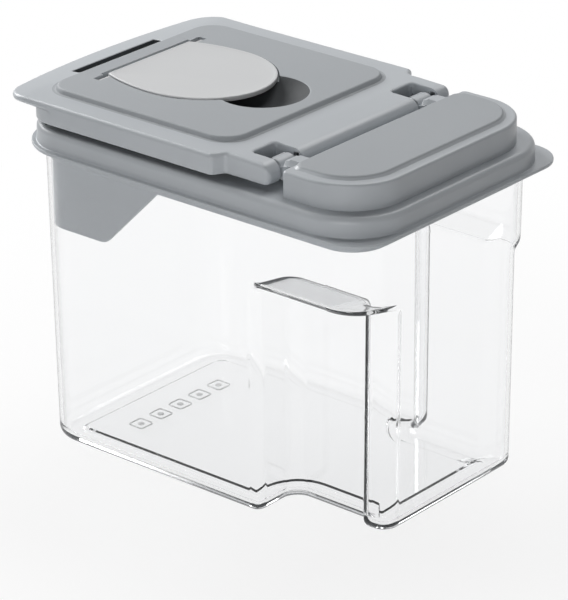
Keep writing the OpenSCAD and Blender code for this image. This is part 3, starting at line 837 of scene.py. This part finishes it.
def flap_skin():
    """Rings from the edge of the top's flat field to the inside of the roof."""
    first = skirt_line(SIDE_R + 1.5, NOSE_R + 1.0, -1.2)
    edge = top_line(SIDE_R, NOSE_R, TIP_R)
    rings = [at_height(first, top_z(first[:, 0]))]
    for t in (0.25, 0.5, 0.75):
        line = first * (1 - t) + edge * t
        rings.append(at_height(line, top_z(line[:, 0])))
    radius = SIDE_R * (1 - front) + TIP_R * front
    radius = radius * (1 - nose) + NOSE_R * nose
    level = top_z(edge[:, 0])
    for t in np.linspace(0, pi / 2, 9):
        s = 1 - sin(t)
        rings.append(at_height(top_line(SIDE_R * s, NOSE_R * s, TIP_R * s), level - radius * (1 - cos(t))))
    side_z = FLAP_Z - NOSE_R - 0.5
    under = level - LIP_T
    start = np.minimum(level - radius - 0.05, under + 1.4)
    for t in np.linspace(0, pi / 2, 5):
        z = np.where(front > 0, under + (start - under) * (1 - sin(t)), side_z)
        rings.append(at_height(top_line(0, 0, 1.4 * (1 - cos(t))), z))
    low = FLAP_Z - LIP_T
    for out, z in ((0.9, low), (0.35, low - 0.2), (0.0, low - 0.8)):
        line = skirt_line(0, 0, 0) * (1 - front[:, None]) + skirt_line(0, 0, -out) * front[:, None]
        rings.append(at_height(line, z * front + side_z * (1 - front)))
    for z, d in ((178.2, 0), (177.2, 0), (176.2, 0), (175.7, 0), (175.35, 0.15), (SKIRT_Z, 0.5)):
        curl = NOSE_R - sqrt(NOSE_R ** 2 - (side_z - z) ** 2)
        rings.append(at_height(skirt_line(d, max(curl, d), d), z))
    for z in (SKIRT_Z, FLAP_Z - 2.3):
        rings.append(at_height(skirt_line(1.8, 3.4, 1.8), z))
    return rings


# Inset and height of the panel's flank, from a fine groove up to its edge.
flank = [(-3.5, 0.0), (-3.2, -0.05), (-2.6, -0.09), (-2.0, -0.04), (-1.6, 0.15), (-0.95, 1.55),
         (-0.6, 1.98), (-0.2, 2.2), (0.35, 2.3)]


def add_panel(rings):
    """Closes the top: a flat field with a hole, then the panel's flank and
    its top face. The field is filled by a Delaunay triangulation, which also
    takes the crease as an edge."""
    points, faces = join_rings(rings)
    n = len(rings[0])
    faces = [f for f in faces if f != tuple(range(n))[::-1]]
    panel = [lift(box_plan(inset(PANEL, d), 10), FLAP_Z + z) for d, z in flank]
    start, m = len(points), len(panel[0])
    p2, f2 = join_rings(panel)
    points += p2
    faces += [tuple(start + i for i in f) for f in f2 if f != tuple(range(m))[::-1]]
    number = list(range(n)) + list(range(start, start + m))
    flat = [Vector(points[i][:2]) for i in number]
    edges = [(i, (i + 1) % n) for i in range(n)] + [(n + i, n + (i + 1) % m) for i in range(m)]
    edges.append(tuple(i for i in range(n) if abs(flat[i].x - CREASE_X) < 1e-6))
    made, _, triangles, origin, _, _ = delaunay_2d_cdt(flat, edges, [], 1, 1e-6)
    hole = inset(PANEL, flank[0][0])
    for tri in triangles:
        x, y = sum((made[i] for i in tri), Vector((0, 0))) / 3
        if not inside_box_plan(x, y, hole):
            faces.append(tuple(number[origin[i][0]] for i in tri))
    return points, faces


flap = mesh_piece("flap_shell", *add_panel(flap_skin()))
print("flap skin:", len(flap.data.polygons), "faces,", open_edges(flap), "open edges")

# %% [markdown]
# Under the top hang the bowl's shell, the boss of the tab's groove and the
# cheeks of the hinge pockets. They are joined to the skin first. Then the
# bowl, the tab's recess, the groove, the pockets and the slot are cut. Each
# cutter flares out at the top, which leaves a rounded rim.

# %% Cutters
def block(x0, x1, y0, y1, z0, z1):
    """A plain box, to join or to cut with."""
    rings = [[(x0, y0, z), (x1, y0, z), (x1, y1, z), (x0, y1, z)] for z in (z0, z1)]
    return mesh_piece("block", *join_rings(rings))


def rod(x, z, r, y0, y1, n=40, soft=0.3):
    """A round bar along Y with slightly rounded ends."""
    profile = [(y0, r - soft), (y0 + soft, r), (y1 - soft, r), (y1, r - soft)]
    turns = [2 * pi * k / n for k in range(n)]
    rings = [[(x + q * cos(t), y, z + q * sin(t)) for t in turns] for y, q in profile]
    return mesh_piece("rod", *join_rings(rings))


def flared(outline, z0, z1, r, n=4):
    """An upright cutter through z1 whose mouth flares out by r."""
    line = np.array(outline)
    out = normals_of(outline)
    rings = [at_height(line, z0)]
    for t in np.linspace(0, pi / 2, n + 1):
        rings.append(at_height(line + out * r * (1 - cos(t)), z1 - r + r * sin(t) * 1.02))
    rings.append(at_height(line + out * (r + 0.05), z1 + 3))
    return mesh_piece("cutter", *join_rings(rings))


def bowl_profile(radius, depth, thick, n=22):
    """Half section of the bowl as (r, z), from its lowest point to its rim."""
    big = (radius ** 2 + depth ** 2) / (2 * depth)
    zc = PANEL_Z - depth + big
    end = np.arcsin(radius / big)
    return [((big + thick) * sin(end * k / n), zc - (big + thick) * cos(end * k / n)) for k in range(n + 1)]


def turned(x, profile, n=72):
    """A solid turned round an upright axis at x. The profile starts on it."""
    rings = [[(x + r * cos(2 * pi * k / n), r * sin(2 * pi * k / n), z) for k in range(n)]
             for r, z in profile if r > 1e-6]
    return mesh_piece("turned", *join_rings(rings))


BOWL_X, BOWL_R, BOWL_D = -12.0, 23.0, 9.0
pit = bowl_profile(BOWL_R, BOWL_D, 0.0)
bowl_rim = [(BOWL_R + 0.35, PANEL_Z - 0.12), (BOWL_R + 0.9, PANEL_Z + 0.02), (BOWL_R + 1.0, PANEL_Z + 3)]
bowl_cut = turned(BOWL_X, pit[:-1] + [(BOWL_R - 0.1, PANEL_Z - 0.3)] + bowl_rim)
shell = [p for p in bowl_profile(BOWL_R, BOWL_D, 1.8) if p[1] < 184.2]
bowl_shell = turned(BOWL_X, shell)

# %% [markdown]
# The tab's outline is half an ellipse at its tip and a shallow curve towards
# its root. The recess follows it at a small distance.

# %% Tab outline and flap cuts
def tab_plan(w, n=20):
    """Outline of the tab, w wider all round."""
    mid, tip, b, root, flare = TAB_X + 33.0, 40.0, 36.5, 33.0, 60.0
    pts = [(mid + (tip + w) * cos(pi / 2 * i / n), (b + w) * sin(pi / 2 * i / n)) for i in range(-n, n + 1)]
    xs = [(root + 1) * i / n for i in range(1, n + 1)]
    side = [(mid - x, (b + w) * sqrt(1 - (x / (flare + w)) ** 2)) for x in xs]
    return pts + side + [(x, -y) for x, y in reversed(side)]


POCKET_X = 32.6


def pocket(side):
    """Cutter of a hinge pocket, open at the rear."""
    y0, y1 = sorted((side * 43.5, side * 60.5))
    plan = rounded([(POCKET_X, y0, 2.6), (60, y0, 0), (60, y1, 0), (POCKET_X, y1, 2.6)], 8)
    return flared(plan, 165.0, FLAP_Z - 0.1, 1.0, 5)


def slot():
    """Cutter of the slot in the lip; it follows the slope of the top."""
    plan = rounded([(-109.3, -33, 1.0), (-103.9, -33, 1.0), (-103.9, 28, 1.0), (-109.3, 28, 1.0)], 4)
    line, out = np.array(plan), normals_of(plan)
    rings = [at_height(line, 170.0)]
    for t in np.linspace(0, pi / 2, 5):
        rings.append(at_height(line + out * 0.6 * (1 - cos(t)), top_z(line[:, 0]) - 0.6 + 0.62 * sin(t)))
    rings.append(at_height(line + out * 0.65, 190.0))
    return mesh_piece("slot", *join_rings(rings))


added = [bowl_shell, block(-91.6, -81.5, -43.3, 43.3, 181.25, 185.0)]
added += [block(30.8, POCKET_X + 0.4, -68.5, 68.5, SKIRT_Z, 184.5)]
for s in (-1, 1):
    for y0, y1 in ((60.5, 69.0), (41.0, 43.5)):
        a, b = sorted((s * y0, s * y1))
        added.append(block(POCKET_X - 1, AXIS_X, a, b, SKIRT_Z, 183.6))
combine(flap, added, "UNION")
GROOVE_Z, ABOVE = 182.75, 195.0
cuts = [bowl_cut, flared(tab_plan(0.8), FLAP_Z, PANEL_Z, 0.25, 3),
        block(-90.1, -83.05, -32.2, 32.2, GROOVE_Z, ABOVE)]
for s in (-1, 1):
    a, b = sorted((s * 31.5, s * 39.5))
    cuts.append(block(-88.4, -83.6, a, b, GROOVE_Z, ABOVE))
cuts += [slot(), pocket(-1), pocket(1)]
combine(flap, cuts)
print("flap cut:", len(flap.data.polygons), "faces,", open_edges(flap), "open edges")

# %% [markdown]
# The sealing rib and the hinge pins are closed meshes of their own inside the same piece. The panel's faces
# get the grained finish by their place, the bowl and the slot a near-black one that is painted shade.

# %% Finish the flap
def rib():
    """The sealing rib, 1.5 mm thick, with a rounded lower edge."""
    plan = (-95.3, 19.3, 62.3, 11.3, 11.3)
    section = ((0, 183.6), (0, 175.2), (0.25, 174.55), (0.6, 174.4),
               (0.9, 174.4), (1.25, 174.55), (1.5, 175.2), (1.5, 183.6))
    rings = [lift(box_plan(inset(plan, d), 10), z) for d, z in section]
    return mesh_piece("rib", *join_rings(rings, closed=True))


pins = [rod(AXIS_X, AXIS_Z, 2.5, *sorted((s * 42.5, s * 61.5))) for s in (-1, 1)]
flap = merge("flap_shell", [flap, rib()] + pins)
smooth(flap, 32)


def grain_or_painted_shade(x, y, z, nz):
    """0 for satin, 1 for the panel's grain, 2 for the painted shade in the bowl and the slot."""
    bowl_shade = (x - BOWL_X) ** 2 + y * y < BOWL_R ** 2 and 178.0 < z < PANEL_Z - 0.1 and nz > 0.3
    slot_shade = -109.5 < x < -103.7 and -33.2 < y < 28.2 and abs(nz) < 0.3
    if bowl_shade or slot_shade:
        return 2
    return 1 if z > FLAP_Z - 0.11 and inside_box_plan(x, y, inset(PANEL, -3.4)) else 0


paint_by_place(flap, [flap_satin, panel_grain, painted_shade_grain], grain_or_painted_shade)
dress(flap, None, "flap", ["flap_lid"])

# %% [markdown]
# ## Hinge block
# A fixed block behind the flap. It has a straight front, wide round corners
# at the rear and a grained pad that starts close to its front edge.

# %% Hinge block shell
BLOCK = (58.5, 105.5, 69.5)
BLOCK_Z, PAD_Z, REAR_R = 185.0, 186.8, 30.0


def block_plan(d, front_in=None, r_front=2.0):
    """Plan of the block, d smaller; the front edge may have its own inset."""
    x0, x1, b = BLOCK
    f = d if front_in is None else front_in
    rear = REAR_R - d
    return rounded([(x0 + f, -b + d, r_front), (x1 - d, -b + d, rear),
                    (x1 - d, b - d, rear), (x0 + f, b - d, r_front)], 16)


# The pad's flank: inset, inset in front, front corner radius, height.
pad_flank = ((4.9, 0.9, 4.0, 0.0), (5.2, 1.0, 4.2, 0.03), (5.5, 1.1, 4.4, 0.15), (6.4, 1.5, 5.0, 1.05),
             (6.8, 1.8, 5.4, 1.45), (7.2, 2.1, 5.8, 1.68), (7.7, 2.5, 6.2, PAD_Z - BLOCK_Z))


def block_skin():
    """Inside of the roof, foot, walls, top edge, pad's flank and its top."""
    rings = [lift(block_plan(2.0), BLOCK_Z - 2.0), lift(block_plan(2.0), DECK_Z),
             lift(block_plan(0.0), DECK_Z), lift(block_plan(0.0), 180.0)]
    for t in np.linspace(0, pi / 2, 6):
        rings.append(lift(block_plan(1.4 * (1 - cos(t)), 0.6 * (1 - cos(t))), BLOCK_Z - 1.4 * (1 - sin(t))))
    for d, front_in, r, z in pad_flank:
        rings.append(lift(block_plan(d, front_in, r), BLOCK_Z + z))
    return rings


hinge_block = mesh_piece("hinge_block_shell", *join_rings(block_skin()))

# %% [markdown]
# Two equal arms reach from the block into the flap's pockets. One arm is
# modelled, and Geometry Nodes set it on two points.

# %% Hinge arms
KNUCKLE_R, BORE_R = 4.5, 2.56


def arm():
    """One arm with its knuckle, centred on y = 0. Its plate has a low strip
    in front and sloping sides, and a fine ridge lies on the knuckle."""
    top = BLOCK_Z - 0.05
    knuckle = arc(AXIS_X, AXIS_Z, KNUCKLE_R, 22, 256, 44)
    rings = []
    for y, soft, slope in ((-6.0, 0.7, 2.6), (-5.3, 0.0, 2.2), (-3.9, 0.0, 0.25), (-3.6, 0.0, 0.0),
                           (3.6, 0.0, 0.0), (3.9, 0.0, 0.25), (5.3, 0.0, 2.2), (6.0, 0.7, 2.6)):
        shrink = (KNUCKLE_R - soft) / KNUCKLE_R
        loop = [(AXIS_X + (x - AXIS_X) * shrink, AXIS_Z + (z - AXIS_Z) * shrink) for x, z in knuckle]
        loop += [(59.0, 173.2), (59.0, top - slope), (52.3, top - slope), (52.0, top - slope - 0.6),
                 (50.1, top - slope - 0.7), (49.6, top - slope - 1.0), (49.3, 181.4), (48.8, 180.9)]
        rings.append([(x, y, z) for x, z in loop])
    body = mesh_piece("hinge_arm", *join_rings(rings))
    ridge = rod(AXIS_X - 1.9, AXIS_Z + 3.75, 0.8, -4.6, 4.6, 16)
    combine(body, [ridge], "UNION")
    return combine(body, [rod(AXIS_X, AXIS_Z, BORE_R, -9.0, 9.0)])


def on_two_points(source):
    tree, gin, gout = new_tree("on_two_points", [("Spread", "NodeSocketFloat", 0.1)])
    new, link = tree.nodes.new, tree.links.new
    line = new("GeometryNodeMeshLine")
    line.mode = "OFFSET"
    line.inputs["Count"].default_value = 2
    ends = new("ShaderNodeCombineXYZ")
    back = new("ShaderNodeCombineXYZ")
    half = new("ShaderNodeMath")
    half.operation = "MULTIPLY"
    half.inputs[1].default_value = -0.5
    link(gin.outputs["Spread"], half.inputs[0])
    link(half.outputs[0], back.inputs["Y"])
    link(gin.outputs["Spread"], ends.inputs["Y"])
    link(back.outputs[0], line.inputs["Start Location"])
    link(ends.outputs[0], line.inputs["Offset"])
    take = new("GeometryNodeObjectInfo")
    take.inputs["Object"].default_value = source
    stamp = new("GeometryNodeInstanceOnPoints")
    link(line.outputs[0], stamp.inputs["Points"])
    link(take.outputs["Geometry"], stamp.inputs["Instance"])
    real = new("GeometryNodeRealizeInstances")
    paint = new("GeometryNodeSetMaterial")
    paint.inputs["Material"].default_value = block_satin
    link(stamp.outputs[0], real.inputs[0])
    link(real.outputs[0], paint.inputs["Geometry"])
    link(paint.outputs[0], gout.inputs[0])
    return tree


one_arm = arm()
arms = run_tree("hinge_arms", on_two_points(one_arm), {"Spread": 0.104})
bpy.data.objects.remove(one_arm)
smooth(arms, 32)
smooth(hinge_block, 32)
paint_by_place(hinge_block, [block_satin, panel_grain], lambda x, y, z, nz: 1 if z > PAD_Z - 0.6 else 0)
dress(hinge_block, None, "lid", ["hinge_block"])
dress(arms, None, "lid")

# %% [markdown]
# ## Lift tab
# A thin, light, slightly dished plate with a fine raised rim. It turns on a
# bar at its root whose ends run in bores of the flap.

# %% Lift tab
def tab_finish():
    f = Finish("tab_light")
    flow = f.noise(22.0, 3.0)
    peel = f.noise(800.0, 2.0)
    f.surface({"Base Color": f.blend(flow, grey(0.60, 0.012), grey(0.64, 0.012)),
               "Roughness": 0.3 + 0.06 * flow, "IOR": 1.49, "Normal": f.bump(peel, 0.02, 0.0002)})
    return f.done()


def tab_skin():
    """The plate from its underside up: edge, fine rim and dished top."""
    line = np.array(tab_plan(0.0, 24))
    out = normals_of(line)
    middle = np.array([-50.0, 0.0])
    z0, z1 = 186.1, 188.6
    profile = [(0.5, z0), (0.15, z0 + 0.15), (0.0, z0 + 0.5)]
    profile += [(0.6 * (1 - cos(t)), z1 - 0.6 * (1 - sin(t))) for t in np.linspace(0, pi / 2, 5)]
    profile += [(1.3, z1), (1.9, z1 - 0.12), (2.4, z1 - 0.3)]
    rings = [at_height(line - out * d, z) for d, z in profile]
    edge = line - out * 2.4
    for s in (0.85, 0.7, 0.5, 0.3, 0.12):
        p = middle + (edge - middle) * s
        z = z1 - 0.3 - 0.75 * (1 - s ** 2)
        rings.append([(x, y, z) for x, y in p])
    return rings


tab_bits = [mesh_piece("plate", *join_rings(tab_skin())), rod(TAB_X, TAB_Z, 1.75, -38.9, 38.9),
            rod(TAB_X, TAB_Z, 1.4, -41.2, 41.2)]
tab = merge("lift_tab_plate", tab_bits)
smooth(tab, 35)
dress(tab, tab_finish(), "tab", ["lift_tab"])

# %% [markdown]
# ## Studio
# The container stands on a pale floor between soft lamps: a large one from
# the left, one from above and behind, and weaker ones in front and at the
# right. Seen directly, through the plastic or mirrored in it, floor and
# background are white. Only near the container does the floor keep a shadow.

# %% Floor and world
def seen_directly(tree):
    """1 for camera, glossy and transmission rays, 0 for the light itself."""
    path = tree.nodes.new("ShaderNodeLightPath")
    value = path.outputs["Is Camera Ray"]
    for name in ("Is Glossy Ray", "Is Transmission Ray"):
        m = tree.nodes.new("ShaderNodeMath")
        m.operation = "MAXIMUM"
        tree.links.new(value, m.inputs[0])
        tree.links.new(path.outputs[name], m.inputs[1])
        value = m.outputs[0]
    return value


def floor_finish():
    f = Finish("floor_white")
    f.surface({"Base Color": grey(0.86), "Roughness": 0.45 + 0.1 * f.noise(8.0)})
    glow = f.node("ShaderNodeEmission", {}, {"Color": (1, 1, 1, 1), "Strength": 1.0})
    away = f.node("ShaderNodeVectorMath", {"operation": "LENGTH"}, {0: f.where}, "Value")
    share = f.node("ShaderNodeMapRange", {"interpolation_type": "SMOOTHSTEP"},
                   {"Value": away, "From Min": 0.15, "From Max": 0.42, "To Min": 0.82, "To Max": 1.0})
    direct = Sock(f, seen_directly(f.tree)) * share
    return f.done(f.node("ShaderNodeMixShader", {}, {0: direct, 1: f.shader, 2: glow}))


FAR_OUT = 9000.0
corners = [(x * FAR_OUT, y * FAR_OUT, 0) for x, y in ((-1, -1), (1, -1), (1, 1), (-1, 1))]
floor = mesh_piece("floor", corners, [(0, 1, 2, 3)], False)
floor.location.z = -0.0001
floor.data.materials.append(floor_finish())

world = bpy.data.worlds.new("studio")
bpy.context.scene.world = world
world.use_nodes = True
wt = world.node_tree
wt.nodes.clear()
ambient = wt.nodes.new("ShaderNodeBackground")
ambient.inputs["Strength"].default_value = 0.04
white = wt.nodes.new("ShaderNodeBackground")
pick = wt.nodes.new("ShaderNodeMixShader")
world_out = wt.nodes.new("ShaderNodeOutputWorld")
wt.links.new(seen_directly(wt), pick.inputs[0])
wt.links.new(ambient.outputs[0], pick.inputs[1])
wt.links.new(white.outputs[0], pick.inputs[2])
wt.links.new(pick.outputs[0], world_out.inputs[0])


# %% Lamps
def softbox(name, place, power, size):
    lamp = bpy.data.lights.new(name, "AREA")
    lamp.shape, lamp.size, lamp.size_y, lamp.energy = "RECTANGLE", size[0], size[1], power
    obj = bpy.data.objects.new(name, lamp)
    bpy.context.scene.collection.objects.link(obj)
    obj.location = place
    obj.rotation_euler = (Vector((0, 0, 0.1)) - Vector(place)).to_track_quat("-Z", "Y").to_euler()
    return obj


softbox("key", (-1.35, 0.1, 0.95), 22.0, (0.9, 0.9))
softbox("back", (-0.2, 0.9, 1.5), 12.0, (0.9, 0.9))
softbox("fill", (0.52, -1.0, 0.36), 4.7, (0.6, 0.6))
softbox("side", (1.3, 0.2, 0.6), 0.2, (0.8, 0.8))

# %% [markdown]
# ## Camera
# The camera's place was fitted to the photograph: 40 degrees round from the
# front, 24 degrees up, with a long lens.

# %% Camera
AZ, EL, ROLL, FAR = radians(40.4), radians(23.8), radians(-0.45), 1.776
back = Vector((sin(AZ) * cos(EL), -cos(AZ) * cos(EL), sin(EL)))
right = Vector((cos(AZ), sin(AZ), 0.0))
up = back.cross(right)
r2 = right * cos(ROLL) + up * sin(ROLL)
u2 = up * cos(ROLL) - right * sin(ROLL)
lens = bpy.data.cameras.new("camera")
lens.sensor_fit, lens.sensor_width, lens.lens = "HORIZONTAL", 36.0, 3500.0 / 568.0 * 36.0
lens.clip_end = 50.0
camera = bpy.data.objects.new("camera", lens)
bpy.context.scene.collection.objects.link(camera)
place = back * FAR - r2 * 0.0003 + u2 * 0.073 + Vector((SHIFT * MM, 0, 0))
camera.matrix_world = Matrix(((r2.x, u2.x, back.x, place.x), (r2.y, u2.y, back.y, place.y),
                              (r2.z, u2.z, back.z, place.z), (0, 0, 0, 1)))
bpy.context.scene.camera = camera
bpy.context.scene.view_settings.view_transform = "Standard"
